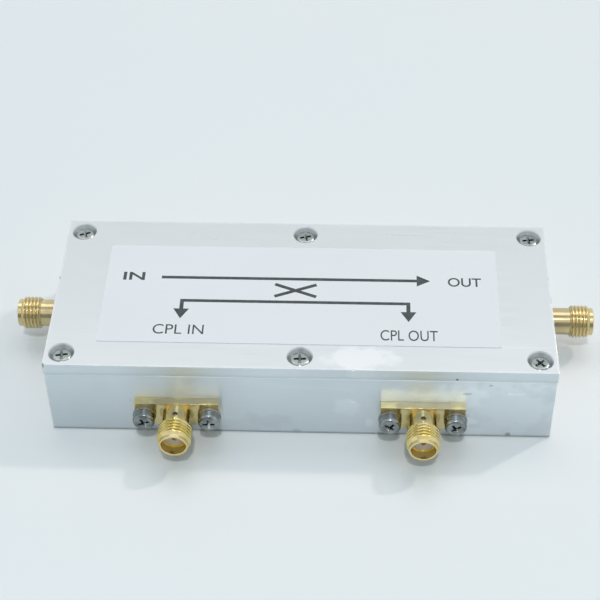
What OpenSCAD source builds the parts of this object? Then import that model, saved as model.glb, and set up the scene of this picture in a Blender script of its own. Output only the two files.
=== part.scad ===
// Bi-directional coaxial coupler in a milled case: two screw-in end jacks on the main line
// and two flanged front jacks on the coupled line.
// X runs along the main line, the coupled jacks face -Y, Z is up from the underside.

/* [Case] */
// Length of the case between its two end faces
case_length = 95; // [90:0.5:120]
// Depth of the case from front to back
case_depth = 39.6; // [38:0.2:50]
// Height of the milled body under the lid
body_height = 15.5; // [14:0.5:22]
// Thickness of the lid plate
lid_thickness = 2.5; // [2.2:0.1:4]
// Thickness of the body's four walls
wall = 6.4; // [6:0.1:8]
// Chamfer that breaks the outer edges of body and lid
edge_break = 0.2; // [0.1:0.05:0.5]
// Radius that the cutter leaves in the cavity's corners
cutter_radius = 3; // [2:0.5:5]

/* [Ports] */
// Height of every jack's axis above the underside
port_height = 6.65; // [6.3:0.05:8]
// Distance between the two coupled jacks
coupled_spacing = 46.1; // [40:0.1:56]
// Distance of the main line behind the middle of the case
main_line_offset = 4.7; // [3:0.1:7]

/* [Jack barrel] */
// Reach of a jack from the wall to its mouth
jack_length = 9.5; // [9.2:0.1:12]
// Outer diameter of the coupling thread
thread_diameter = 6.35; // [6.2:0.05:6.6]
// Distance from the wall to the first thread
thread_start = 4.9; // [4.7:0.1:5.2]
// Length of the coupling thread with its chamfers
thread_length = 3.85; // [3.4:0.05:4]
// Chamfer at the inner end of the thread
thread_chamfer = 0.35; // [0.2:0.05:0.45]
// Diameter of the smooth neck behind the thread
neck_diameter = 5.3; // [5:0.1:5.6]
// Diameter of the smooth nose in front of the thread
nose_diameter = 5.4; // [5.2:0.05:5.6]
// Bevel on the rim of the nose, inside and outside
rim_break = 0.1; // [0.05:0.01:0.14]
// Diameter of the mouth that takes the plug's sleeve
mouth_diameter = 4.6; // [4.5:0.05:4.8]
// Depth of the mouth down to the reference plane
mouth_depth = 2; // [1.6:0.1:2.4]
// Diameter of the cross hole that locks the insulator
locking_hole_diameter = 1; // [0.6:0.1:1.2]
// Distance of that cross hole from the wall
locking_hole_distance = 3.8; // [3.4:0.1:4]

/* [Jack inside] */
// Diameter of the insulator rod
insulator_diameter = 4.1; // [3.9:0.05:4.3]
// Diameter of the centre contact
contact_diameter = 1.27; // [1.1:0.01:1.5]
// How far the contact stays behind the reference plane
contact_recess = 0.05; // [0:0.01:0.2]
// Bore of the contact's spring socket
socket_diameter = 0.94; // [0.8:0.01:1]
// Depth of the contact's spring socket
socket_depth = 2.8; // [2.4:0.1:3.4]
// Width of the two saw cuts that make the socket's four fingers
slot_width = 0.18; // [0.1:0.01:0.25]
// Length of the saw cuts
slot_depth = 2; // [1.5:0.1:2.3]
// Thickness of the contact's flat solder tab
tab_thickness = 0.4; // [0.3:0.05:0.6]
// Reach of the solder tab into the cavity
tab_reach = 2.2; // [1.8:0.1:3]

/* [Jack flange] */
// Length of the two-hole flange
flange_length = 15.88; // [15.4:0.02:17]
// Height of the flange
flange_height = 5.72; // [5.5:0.02:6.4]
// Thickness of the flange
flange_thickness = 1.65; // [1.4:0.05:2]
// Distance between the flange's two holes
flange_spacing = 12.22; // [11.8:0.02:12.6]
// Extra diameter of a flange hole over its screw
flange_hole_play = 0.42; // [0.2:0.02:0.6]

/* [Jack shoulder] */
// Diameter of a screw-in jack's seating shoulder
shoulder_diameter = 7.6; // [7.4:0.1:9]
// Thickness of the shoulder
shoulder_thickness = 1.2; // [0.8:0.1:1.5]
// Distance across the shoulder's two wrench flats
shoulder_flats = 7; // [6.8:0.1:7.3]

/* [Fasteners] */
// Thread diameter of all screws
screw_diameter = 2.18; // [1.9:0.02:2.4]
// Distance of the lid screws from the case's edges
lid_screw_inset = 3.2; // [3:0.05:3.6]
// Depth that a lid screw reaches into the body
lid_screw_reach = 4.5; // [3.5:0.1:6]
// Head diameter of a lid screw
lid_head_diameter = 3.7; // [3.6:0.05:4.4]
// Half of the countersink's included angle
countersink_half_angle = 41; // [40:1:45]
// Depth of the lid screws' heads below the lid's face
head_sink = 0.65; // [0:0.05:0.8]
// Extra diameter of a clearance hole in lid or board
clearance_hole_play = 0.24; // [0.1:0.02:0.4]
// Head diameter of the pan-head screws
pan_head_diameter = 4.16; // [3.8:0.02:4.4]
// Head height of the pan-head screws
pan_head_height = 1.75; // [1.4:0.05:2]
// Radius of a pan head's rounded edge
pan_head_round = 0.6; // [0.3:0.05:0.8]
// Depth that a flange screw reaches into the wall
flange_screw_reach = 3.8; // [3:0.1:4.2]
// Depth that a board screw reaches into the floor
board_screw_reach = 3; // [2:0.1:3.6]
// Depth of a tapped hole past the end of its screw
tap_runout = 0.8; // [0.4:0.1:1]
// Outer diameter of a lock washer
washer_diameter = 4.4; // [4:0.05:4.8]
// Thickness of a lock washer
washer_thickness = 0.65; // [0.4:0.05:0.8]
// Width of a lock washer's slanted split
washer_split = 0.4; // [0.2:0.05:0.6]
// Slant of the split
washer_split_angle = 25; // [10:5:40]
// Width across the wings of a cross recess
recess_width = 2.3; // [1.8:0.1:2.5]
// Thickness of a wing of the cross recess
recess_wing = 0.5; // [0.3:0.02:0.6]
// Depth of the cross recess
recess_depth = 0.95; // [0.6:0.05:1]

/* [Board] */
// Thickness of the circuit board
board_thickness = 0.8; // [0.5:0.1:1.6]
// Gap between the board's edge and the cavity
board_clearance = 0.2; // [0.1:0.05:0.4]
// Thickness of the two conductors
line_thickness = 0.1; // [0.05:0.01:0.15]
// Width of the two conductors
line_width = 2.2; // [1.6:0.1:2.6]
// Gap between main line and coupled line
line_gap = 1.2; // [0.6:0.1:2]
// Gap from the end of a conductor to the board's edge
line_end_gap = 0.3; // [0.1:0.05:0.6]
// Distance of the board screws from the board's edges
board_screw_inset = 3.4; // [3:0.1:4.5]

/* [Label] */
// Distance from the lid's left edge to the label
label_margin_left = 9.3; // [8.5:0.1:14]
// Distance from the lid's right edge to the label
label_margin_right = 10.1; // [8.5:0.1:14]
// Distance from the lid's front edge to the label
label_margin_front = 6.2; // [5.9:0.1:9]
// Distance from the lid's back edge to the label
label_margin_back = 7.2; // [5.9:0.1:9]
// Thickness of the label
label_thickness = 0.12; // [0.06:0.01:0.3]

/* [Fit] */
// Radial clearance between pieces that seat in one another
fit = 0.03; // [0.01:0.01:0.06]

/* [Hidden] */
$fn = 72;

aluminium = [0.82, 0.85, 0.87];
gold = [0.79, 0.67, 0.33];
steel = [0.58, 0.6, 0.6];
ptfe = [0.93, 0.9, 0.86];
laminate = [0.82, 0.78, 0.63];
copper = [0.8, 0.52, 0.34];
label_white = [0.93, 0.94, 0.95];

// Length by which a cutter runs past the face that it opens
overcut = 1;
// Steps in the rounded edge of a pan head
round_steps = 6;

screw_radius = screw_diameter / 2;
contact_radius = contact_diameter / 2;
insulator_radius = insulator_diameter / 2;
neck_radius = neck_diameter / 2;
nose_radius = nose_diameter / 2;
thread_radius = thread_diameter / 2;
mouth_radius = mouth_diameter / 2;
shoulder_radius = shoulder_diameter / 2;
pan_head_radius = pan_head_diameter / 2;
lid_head_radius = lid_head_diameter / 2;

cavity_length = case_length - 2 * wall;
cavity_depth = case_depth - 2 * wall;
board_length = cavity_length - 2 * board_clearance;
board_depth = cavity_depth - 2 * board_clearance;
lid_top = body_height + lid_thickness;

// The solder tabs lie flat on the conductors, which sets the height of board and floor
line_top = port_height - tab_thickness / 2;
board_top = line_top - line_thickness;
floor_height = board_top - board_thickness;

thread_end = thread_start + thread_length;
reference_plane = jack_length - mouth_depth;
contact_tip = reference_plane - contact_recess;

lid_head_height = (lid_head_radius - screw_radius) / tan(countersink_half_angle);
lid_screw_x = case_length / 2 - lid_screw_inset;
lid_screw_y = case_depth / 2 - lid_screw_inset;
board_screw_x = board_length / 2 - board_screw_inset;
board_screw_y = board_depth / 2 - board_screw_inset;

// A port holds the x and y of its wall face and the turn that points its axis outwards
input_port = [-case_length / 2, main_line_offset, -90];
output_port = [case_length / 2, main_line_offset, 90];
coupled_in_port = [-coupled_spacing / 2, -case_depth / 2, 0];
coupled_out_port = [coupled_spacing / 2, -case_depth / 2, 0];
end_ports = [input_port, output_port];
front_ports = [coupled_in_port, coupled_out_port];

// The turned outside of a barrel from its neck to its rim, as radius and distance from the wall
barrel_outline = [
    [neck_radius, thread_start],
    [thread_radius - thread_chamfer, thread_start],
    [thread_radius, thread_start + thread_chamfer],
    [thread_radius, thread_end - thread_radius + nose_radius],
    [nose_radius, thread_end],
    [nose_radius, jack_length - rim_break],
    [nose_radius - rim_break, jack_length],
    [0, jack_length]
];

// Rectangle centred on the origin with its corners cut off
module chamfered_outline(length, depth, chamfer) {
    x = length / 2;
    y = depth / 2;
    polygon([
        [x - chamfer, -y], [x, -y + chamfer], [x, y - chamfer], [x - chamfer, y],
        [-x + chamfer, y], [-x, y - chamfer], [-x, -y + chamfer], [-x + chamfer, -y]
    ]);
}

// Block that stands on the origin with all twelve edges broken
module chamfered_block(length, depth, height, chamfer) {
    intersection() {
        linear_extrude(height)
            chamfered_outline(length, depth, chamfer);
        translate([0, depth / 2, height / 2])
            rotate([90, 0, 0])
                linear_extrude(depth)
                    chamfered_outline(length, height, chamfer);
        translate([-length / 2, 0, height / 2])
            rotate([90, 0, 90])
                linear_extrude(length)
                    chamfered_outline(depth, height, chamfer);
    }
}

// Rectangle centred on the origin with round corners
module rounded_outline(length, depth, radius) {
    square([length - 2 * radius, depth], center = true);
    square([length, depth - 2 * radius], center = true);
    for (x = [-1, 1], y = [-1, 1])
        translate([x * (length / 2 - radius), y * (depth / 2 - radius)])
            circle(radius);
}

// Places along a port's axis: local Z points out of the wall and local Y points up
module at_port(port) {
    translate([port[0], port[1], port_height])
        rotate([90, 0, port[2]])
            children();
}

module at_flange_screws() {
    for (port = front_ports, side = [-1, 1])
        at_port(port)
            translate([side * flange_spacing / 2, 0, 0])
                children();
}

module at_lid_screws() {
    for (x = [-lid_screw_x, 0, lid_screw_x], y = [-lid_screw_y, lid_screw_y])
        translate([x, y, 0])
            children();
}

module at_board_screws() {
    for (x = [-board_screw_x, 0, board_screw_x], y = [-board_screw_y, board_screw_y])
        translate([x, y, 0])
            children();
}

// Tapped hole at its full thread diameter, sunk from z = 0
module tapped_hole(reach) {
    translate([0, 0, -reach - tap_runout])
        cylinder(r = screw_radius + fit, h = reach + tap_runout + overcut);
}

// Cross recess sunk from z = 0, with wings that run in towards its bottom
module cross_recess() {
    intersection() {
        for (turn = [0, 90])
            rotate([0, 0, turn])
                translate([-recess_width, -recess_wing / 2, -recess_depth])
                    cube([2 * recess_width, recess_wing, recess_depth + overcut]);
        translate([0, 0, -recess_depth])
            cylinder(r1 = recess_wing / 2, r2 = recess_width / 2, h = recess_depth);
    }
}

// Pan-head screw seated on z = 0 with its shank reaching down
module pan_screw(reach) {
    edge_centre = [pan_head_radius - pan_head_round, pan_head_height - pan_head_round];
    edge = [for (step = [0 : round_steps])
        let (angle = 90 * step / round_steps)
        edge_centre + pan_head_round * [cos(angle), sin(angle)]];
    difference() {
        union() {
            rotate_extrude()
                polygon(concat([[0, 0], [pan_head_radius, 0]], edge, [[0, pan_head_height]]));
            translate([0, 0, -reach])
                cylinder(r = screw_radius, h = reach);
        }
        translate([0, 0, pan_head_height])
            cross_recess();
    }
}

// Countersunk screw with its flat head at z = 0 and its shank reaching down
module flat_screw(reach) {
    difference() {
        rotate_extrude()
            polygon([
                [0, 0], [lid_head_radius, 0], [screw_radius, -lid_head_height],
                [screw_radius, -reach], [0, -reach]
            ]);
        cross_recess();
    }
}

// Bore of a jack: the insulator's length, then the open mouth with its flared rim
module jack_bore() {
    translate([0, 0, -wall - overcut])
        cylinder(r = insulator_radius + fit, h = wall + reference_plane + 2 * overcut);
    translate([0, 0, reference_plane])
        cylinder(r = mouth_radius, h = mouth_depth + overcut);
    translate([0, 0, jack_length - rim_break])
        cylinder(r1 = mouth_radius, r2 = mouth_radius + 2 * rim_break, h = 2 * rim_break);
}

module locking_hole() {
    translate([0, 0, locking_hole_distance])
        rotate([-90, 0, 0])
            cylinder(d = locking_hole_diameter, h = neck_diameter);
}

// Turned jack with a two-hole flange that lies on the wall
module flanged_jack_body() {
    difference() {
        union() {
            rotate_extrude()
                polygon(concat([[0, 0], [neck_radius, 0]], barrel_outline));
            translate([-flange_length / 2, -flange_height / 2, 0])
                cube([flange_length, flange_height, flange_thickness]);
        }
        jack_bore();
        locking_hole();
        for (side = [-1, 1])
            translate([side * flange_spacing / 2, 0, -overcut])
                cylinder(d = screw_diameter + flange_hole_play, h = flange_thickness + 2 * overcut);
    }
}

// Turned jack whose shank screws into the wall up to a shoulder with two wrench flats
module screw_in_jack_body() {
    difference() {
        rotate_extrude()
            polygon(concat([
                [0, -wall], [thread_radius, -wall], [thread_radius, 0], [shoulder_radius, 0],
                [shoulder_radius, shoulder_thickness], [neck_radius, shoulder_thickness]
            ], barrel_outline));
        jack_bore();
        for (turn = [0, 180])
            rotate([0, 0, turn])
                translate([shoulder_flats / 2, -shoulder_radius, -overcut])
                    cube([shoulder_radius, shoulder_diameter, shoulder_thickness + 2 * overcut]);
    }
}

// Insulator rod from the inner face of the wall to the reference plane
module jack_insulator() {
    difference() {
        translate([0, 0, -wall])
            cylinder(r = insulator_radius, h = wall + reference_plane);
        translate([0, 0, -wall - overcut])
            cylinder(r = contact_radius + fit, h = wall + reference_plane + 2 * overcut);
        children();
    }
}

// Centre contact: slotted spring socket, round shank and flat solder tab
module jack_contact() {
    difference() {
        union() {
            translate([0, 0, -wall])
                cylinder(r = contact_radius, h = wall + contact_tip);
            intersection() {
                translate([0, 0, -wall - tab_reach])
                    cylinder(r = contact_radius, h = tab_reach + overcut);
                translate([-contact_radius, -tab_thickness / 2, -wall - tab_reach])
                    cube([contact_diameter, tab_thickness, tab_reach + overcut]);
            }
        }
        translate([0, 0, contact_tip - socket_depth])
            cylinder(d = socket_diameter, h = socket_depth + overcut);
        for (turn = [0, 90])
            rotate([0, 0, turn])
                translate([-contact_diameter, -slot_width / 2, contact_tip - slot_depth])
                    cube([2 * contact_diameter, slot_width, slot_depth + overcut]);
    }
}

module housing() {
    color(aluminium)
        difference() {
            chamfered_block(case_length, case_depth, body_height, edge_break);
            translate([0, 0, floor_height])
                linear_extrude(body_height)
                    rounded_outline(cavity_length, cavity_depth, cutter_radius);
            for (port = end_ports)
                at_port(port)
                    translate([0, 0, -wall - overcut])
                        cylinder(r = thread_radius + fit, h = wall + 2 * overcut);
            for (port = front_ports)
                at_port(port)
                    translate([0, 0, -wall - overcut])
                        cylinder(r = insulator_radius + fit, h = wall + 2 * overcut);
            at_flange_screws()
                tapped_hole(flange_screw_reach);
            at_lid_screws()
                translate([0, 0, body_height])
                    tapped_hole(lid_screw_reach);
            at_board_screws()
                translate([0, 0, floor_height])
                    tapped_hole(board_screw_reach);
        }
}

module circuit_board() {
    color(laminate)
        difference() {
            translate([0, 0, floor_height])
                linear_extrude(board_thickness)
                    rounded_outline(board_length, board_depth, cutter_radius);
            at_board_screws()
                translate([0, 0, floor_height - overcut])
                    cylinder(d = screw_diameter + clearance_hole_play, h = board_thickness + 2 * overcut);
        }
}

module main_line() {
    length = board_length - 2 * line_end_gap;
    color(copper)
        translate([-length / 2, main_line_offset - line_width / 2, board_top])
            cube([length, line_width, line_thickness]);
}

// Coupled line: two legs from the front jacks, joined by a run beside the main line
// with its outer corners mitred
module coupled_line() {
    outer_x = (coupled_spacing + line_width) / 2;
    inner_x = (coupled_spacing - line_width) / 2;
    front_y = -board_depth / 2 + line_end_gap;
    run_back_y = main_line_offset - line_width / 2 - line_gap;
    run_front_y = run_back_y - line_width;
    color(copper)
        translate([0, 0, board_top])
            linear_extrude(line_thickness)
                polygon([
                    [-outer_x, front_y], [-inner_x, front_y], [-inner_x, run_front_y],
                    [inner_x, run_front_y], [inner_x, front_y], [outer_x, front_y],
                    [outer_x, run_front_y], [inner_x, run_back_y],
                    [-inner_x, run_back_y], [-outer_x, run_front_y]
                ]);
}

module board_screws() {
    color(steel)
        at_board_screws()
            translate([0, 0, board_top])
                pan_screw(board_thickness + board_screw_reach);
}

module input_jack_body() {
    color(gold)
        at_port(input_port)
            screw_in_jack_body();
}

module input_jack_insulator() {
    color(ptfe)
        at_port(input_port)
            jack_insulator();
}

module input_jack_contact() {
    color(gold)
        at_port(input_port)
            jack_contact();
}

module output_jack_body() {
    color(gold)
        at_port(output_port)
            screw_in_jack_body();
}

module output_jack_insulator() {
    color(ptfe)
        at_port(output_port)
            jack_insulator();
}

module output_jack_contact() {
    color(gold)
        at_port(output_port)
            jack_contact();
}

module coupled_in_jack_body() {
    color(gold)
        at_port(coupled_in_port)
            flanged_jack_body();
}

module coupled_in_jack_insulator() {
    color(ptfe)
        at_port(coupled_in_port)
            jack_insulator()
                locking_hole();
}

module coupled_in_jack_contact() {
    color(gold)
        at_port(coupled_in_port)
            jack_contact();
}

module coupled_out_jack_body() {
    color(gold)
        at_port(coupled_out_port)
            flanged_jack_body();
}

module coupled_out_jack_insulator() {
    color(ptfe)
        at_port(coupled_out_port)
            jack_insulator()
                locking_hole();
}

module coupled_out_jack_contact() {
    color(gold)
        at_port(coupled_out_port)
            jack_contact();
}

module lock_washers() {
    color(steel)
        at_flange_screws()
            translate([0, 0, flange_thickness])
                difference() {
                    cylinder(d = washer_diameter, h = washer_thickness);
                    translate([0, 0, -overcut])
                        cylinder(d = screw_diameter + clearance_hole_play, h = washer_thickness + 2 * overcut);
                    translate([washer_diameter / 2, 0, washer_thickness / 2])
                        rotate([washer_split_angle, 0, 0])
                            cube([washer_diameter, washer_split, 2 * washer_diameter], center = true);
                }
}

module flange_screws() {
    seat = flange_thickness + washer_thickness;
    color(steel)
        at_flange_screws()
            translate([0, 0, seat])
                pan_screw(seat + flange_screw_reach);
}

module lid() {
    cone_top = lid_head_radius + fit + (head_sink + overcut) * tan(countersink_half_angle);
    cone_depth = (cone_top - screw_radius) / tan(countersink_half_angle);
    color(aluminium)
        difference() {
            translate([0, 0, body_height])
                chamfered_block(case_length, case_depth, lid_thickness, edge_break);
            at_lid_screws() {
                translate([0, 0, lid_top + overcut - cone_depth])
                    cylinder(r1 = screw_radius, r2 = cone_top, h = cone_depth);
                translate([0, 0, body_height - overcut])
                    cylinder(d = screw_diameter + clearance_hole_play, h = lid_thickness + overcut);
            }
        }
}

module lid_screws() {
    color(steel)
        at_lid_screws()
            translate([0, 0, lid_top - head_sink])
                flat_screw(lid_thickness - head_sink + lid_screw_reach);
}

module label() {
    length = case_length - label_margin_left - label_margin_right;
    depth = case_depth - label_margin_front - label_margin_back;
    color(label_white)
        translate([label_margin_left - case_length / 2, label_margin_front - case_depth / 2, lid_top])
            cube([length, depth, label_thickness]);
}

housing();
circuit_board();
main_line();
coupled_line();
board_screws();
input_jack_body();
input_jack_insulator();
input_jack_contact();
output_jack_body();
output_jack_insulator();
output_jack_contact();
coupled_in_jack_body();
coupled_in_jack_insulator();
coupled_in_jack_contact();
coupled_out_jack_body();
coupled_out_jack_insulator();
coupled_out_jack_contact();
lock_washers();
flange_screws();
lid();
lid_screws();
label();
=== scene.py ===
"""Bi-directional coaxial coupler, dressed piece by piece in the order in which it is put together."""
import math
import bmesh
import bpy
from mathutils import Matrix, Vector


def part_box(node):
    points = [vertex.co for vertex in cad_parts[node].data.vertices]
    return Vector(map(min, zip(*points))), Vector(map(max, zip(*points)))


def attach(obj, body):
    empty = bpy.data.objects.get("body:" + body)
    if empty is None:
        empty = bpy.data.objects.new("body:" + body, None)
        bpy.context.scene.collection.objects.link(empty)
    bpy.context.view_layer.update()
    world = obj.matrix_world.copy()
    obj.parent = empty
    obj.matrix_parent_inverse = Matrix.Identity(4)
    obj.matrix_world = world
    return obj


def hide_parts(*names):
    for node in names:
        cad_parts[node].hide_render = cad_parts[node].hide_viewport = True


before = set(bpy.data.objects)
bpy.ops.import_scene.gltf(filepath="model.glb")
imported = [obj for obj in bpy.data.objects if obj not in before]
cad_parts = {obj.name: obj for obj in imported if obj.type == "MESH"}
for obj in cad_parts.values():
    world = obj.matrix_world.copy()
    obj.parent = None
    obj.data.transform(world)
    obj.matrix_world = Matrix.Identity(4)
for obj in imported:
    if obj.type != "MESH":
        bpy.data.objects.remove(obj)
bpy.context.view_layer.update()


# Housing
# The body is milled from one block of bare aluminium: a pocket for the circuit, bores for the
# four jacks and tapped holes for every screw. Its outer edges are broken with a file.
mm = 0.001
same_plane = 0.001 * mm
housing_low, housing_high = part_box("housing")
board_low, board_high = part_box("circuit_board")
wall = 6.4 * mm
pocket_corner = 3 * mm
housing_edge = 0.3 * mm
jack_bore_radius = 2.08 * mm
shank_bore_radius = 3.205 * mm
tap_radius = 1.12 * mm
tap_runout = 0.8 * mm
flange_spacing = 12.22 * mm
flange_screw_reach = 3.8 * mm
lid_screw_reach = 4.5 * mm
board_screw_reach = 3 * mm
lid_head_radius = 1.85 * mm
pan_head_radius = 2.08 * mm
past_face = 1 * mm
inwards = Vector((0, 1, 0))
upwards = Vector((0, 0, 1))


def deselect():
    """Deselects everything, because an operator acts on all that is selected."""
    bpy.ops.object.select_all(action="DESELECT")


def add_block(name, low, high):
    """Adds a block between two corners, with its place in its mesh."""
    low = Vector(low)
    high = Vector(high)
    deselect()
    bpy.ops.mesh.primitive_cube_add(size=1, location=(low + high) / 2)
    block = bpy.context.object
    block.name = name
    block.scale = high - low
    bpy.ops.object.transform_apply()
    return block


def pick(piece, kind, passes):
    """Goes into edit mode and selects the faces or edges whose middle and direction pass a test."""
    bpy.context.view_layer.objects.active = piece
    bpy.ops.object.mode_set(mode="EDIT")
    bpy.ops.mesh.select_mode(type=kind)
    bpy.ops.mesh.select_all(action="DESELECT")
    mesh = bmesh.from_edit_mesh(piece.data)
    if kind == "FACE":
        for face in mesh.faces:
            face.select_set(passes(face.calc_center_median(), face.normal))
    else:
        for edge in mesh.edges:
            start, end = (vertex.co for vertex in edge.verts)
            edge.select_set(passes((start + end) / 2, (end - start).normalized()))
    mesh.select_flush_mode()
    bmesh.update_edit_mesh(piece.data)


def bevel(piece, passes, width, segments):
    """Bevels the edges whose middle and direction pass a test."""
    pick(piece, "EDGE", passes)
    bpy.ops.mesh.bevel(offset=width, segments=segments, affect="EDGES")
    bpy.ops.object.mode_set(mode="OBJECT")


def combine(piece, tool, operation):
    """Cuts a tool's mesh out of a piece, or fuses it on, and removes the tool."""
    bpy.context.view_layer.objects.active = piece
    modifier = piece.modifiers.new("combine", "BOOLEAN")
    modifier.operation = operation
    modifier.solver = "EXACT"
    modifier.object = tool
    bpy.ops.object.modifier_apply(modifier=modifier.name)
    bpy.data.objects.remove(tool)


def drill(piece, radius, start, end):
    """Drills a round hole between two points."""
    start = Vector(start)
    end = Vector(end)
    deselect()
    bpy.ops.mesh.primitive_cylinder_add(
        vertices=40, radius=radius, depth=(end - start).length, location=(start + end) / 2,
        rotation=(end - start).to_track_quat("Z", "Y").to_euler(),
    )
    combine(piece, bpy.context.object, "DIFFERENCE")


def dent(piece, place, radius, depth, way):
    """Leaves a shallow round dent where something struck the face at that place."""
    ball = (radius ** 2 + depth ** 2) / (2 * depth)
    deselect()
    bpy.ops.mesh.primitive_uv_sphere_add(
        segments=48, ring_count=48, radius=ball, location=Vector(place) - Vector(way) * (ball - depth),
    )
    combine(piece, bpy.context.object, "DIFFERENCE")


def on_box_edge(low, high):
    """Gives a test for the twelve outer edges of a block."""
    def passes(middle, direction):
        planes = [abs(middle[axis] - side[axis]) < same_plane for axis in range(3) for side in (low, high)]
        return sum(planes) >= 2
    return passes


def smooth(piece, angle=40):
    """Shades a piece smoothly, apart from edges sharper than the angle, and keeps its flats flat."""
    deselect()
    bpy.context.view_layer.objects.active = piece
    piece.select_set(True)
    bpy.ops.object.shade_smooth_by_angle(angle=math.radians(angle))
    modifier = piece.modifiers.new("even_flats", "WEIGHTED_NORMAL")
    modifier.keep_sharp = True
    bpy.ops.object.modifier_apply(modifier=modifier.name)


def paint(piece, material):
    """Gives a piece its one finish."""
    piece.data.materials.clear()
    piece.data.materials.append(material)


def fit(piece, node, material):
    """Puts a finished piece in the place of its node, with its finish."""
    paint(piece, material)
    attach(piece, "root")
    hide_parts(node)


def screw_grid(node, head_radius, height):
    """The places of a node's six screws, in three columns and two rows at one height."""
    low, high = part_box(node)
    columns = (low.x + head_radius, 0, high.x - head_radius)
    rows = (low.y + head_radius, high.y - head_radius)
    return [Vector((x, y, height)) for x in columns for y in rows]


def front_port(node):
    """Where a front jack's axis meets the front wall."""
    low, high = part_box(node)
    return Vector(((low.x + high.x) / 2, housing_low.y, (low.z + high.z) / 2))


def end_port(node):
    """Where an end jack's axis meets its end wall."""
    low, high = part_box(node)
    end = housing_low.x if high.x < 0 else housing_high.x
    return Vector((end, (low.y + high.y) / 2, (low.z + high.z) / 2))


front_ports = {name: front_port(f"{name}_jack_body") for name in ("coupled_in", "coupled_out")}
end_ports = {name: end_port(f"{name}_jack_body") for name in ("input", "output")}
flange_screw_places = [
    port + Vector((side * flange_spacing / 2, 0, 0)) for port in front_ports.values() for side in (-1, 1)
]
lid_screw_places = screw_grid("lid_screws", lid_head_radius, 0)
board_screw_places = screw_grid("board_screws", pan_head_radius, board_high.z)

housing = add_block("milled_housing", housing_low, housing_high)
pick(housing, "FACE", lambda middle, normal: normal.z > 0.9)
bpy.ops.mesh.inset(thickness=wall)
bpy.ops.mesh.extrude_region_move(TRANSFORM_OT_translate={"value": (0, 0, board_low.z - housing_high.z)})
bevel(
    housing, lambda middle, direction: abs(direction.z) > 0.9 and abs(middle.x) < housing_high.x - wall / 2,
    pocket_corner, segments=8,
)
bevel(housing, on_box_edge(housing_low, housing_high), housing_edge, segments=3)

for port in front_ports.values():
    drill(housing, jack_bore_radius, port - inwards * past_face, port + inwards * (wall + past_face))
for port in end_ports.values():
    along = Vector((-math.copysign(1, port.x), 0, 0))
    drill(housing, shank_bore_radius, port - along * past_face, port + along * (wall + past_face))
for place in flange_screw_places:
    depth = flange_screw_reach + tap_runout
    drill(housing, tap_radius, place - inwards * past_face, place + inwards * depth)
for place in lid_screw_places:
    top = place + upwards * housing_high.z
    depth = lid_screw_reach + tap_runout
    drill(housing, tap_radius, top + upwards * past_face, top - upwards * depth)
for place in board_screw_places:
    top = Vector((place.x, place.y, board_low.z))
    depth = board_screw_reach + tap_runout
    drill(housing, tap_radius, top + upwards * past_face, top - upwards * depth)

# Small knocks on the front wall: x and height, then radius and depth, in millimetres
for x, height, radius, depth in (
    (30.7, 12.1, 0.25, 0.06), (31.3, 11.9, 0.2, 0.05), (35.3, 14.4, 0.2, 0.05), (39.05, 12.05, 0.3, 0.08),
    (39.4, 0.5, 0.5, 0.2),
):
    dent(housing, (x * mm, housing_low.y, height * mm), radius * mm, depth * mm, inwards)
smooth(housing)


def add_node(tree, kind, sockets=None, **options):
    """Adds a shader node, sets its options and fills its sockets with values or links."""
    made = tree.nodes.new(kind)
    for option, value in options.items():
        setattr(made, option, value)
    for socket, value in (sockets or {}).items():
        if isinstance(value, bpy.types.NodeSocket):
            tree.links.new(value, made.inputs[socket])
        else:
            made.inputs[socket].default_value = value
    return made


def new_group(name, inputs, masks):
    """Starts a shader node group: inputs with their usual values, and the masks that it puts out."""
    group = bpy.data.node_groups.new(name, "ShaderNodeTree")
    for socket, value in inputs.items():
        kind = "NodeSocketVector" if isinstance(value, tuple) else "NodeSocketFloat"
        made = group.interface.new_socket(name=socket, in_out="INPUT", socket_type=kind)
        made.default_value = value
    for socket in masks:
        group.interface.new_socket(name=socket, in_out="OUTPUT", socket_type="NodeSocketFloat")
    return group, group.nodes.new("NodeGroupInput").outputs, group.nodes.new("NodeGroupOutput").inputs


def math_node(tree, operation, first, second=0.0):
    """One step of arithmetic on values that vary over a surface."""
    return add_node(tree, "ShaderNodeMath", {0: first, 1: second}, operation=operation).outputs[0]


def vector_node(tree, operation, first, second=(0, 0, 0)):
    """One step of arithmetic on vectors that vary over a surface."""
    sockets = {0: first, 1: second}
    return add_node(tree, "ShaderNodeVectorMath", sockets, operation=operation).outputs["Vector"]


def noise(tree, vector, scale, detail=3.0):
    """A value that wanders over a surface, mostly between 0.3 and 0.7."""
    sockets = {"Vector": vector, "Scale": scale, "Detail": detail}
    return add_node(tree, "ShaderNodeTexNoise", sockets).outputs["Fac"]


def remap(tree, value, low, high, out_low, out_high):
    """Stretches a range of a value over another range, and stops at its ends."""
    sockets = {"Value": value, "From Min": low, "From Max": high, "To Min": out_low, "To Max": out_high}
    return add_node(tree, "ShaderNodeMapRange", sockets, clamp=True).outputs["Result"]


def blend(tree, factor, first, second):
    """Mixes two colours by a factor that varies over the surface."""
    first_colour = 6
    second_colour = 7
    mixed_colour = 2
    sockets = {"Factor": factor, first_colour: first, second_colour: second}
    return add_node(tree, "ShaderNodeMix", sockets, data_type="RGBA").outputs[mixed_colour]


def tint(tree, mask, share, colour, tone):
    """Moves a colour towards a tone by a share of a mask."""
    return blend(tree, math_node(tree, "MULTIPLY", mask, share), colour, tone)


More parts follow.
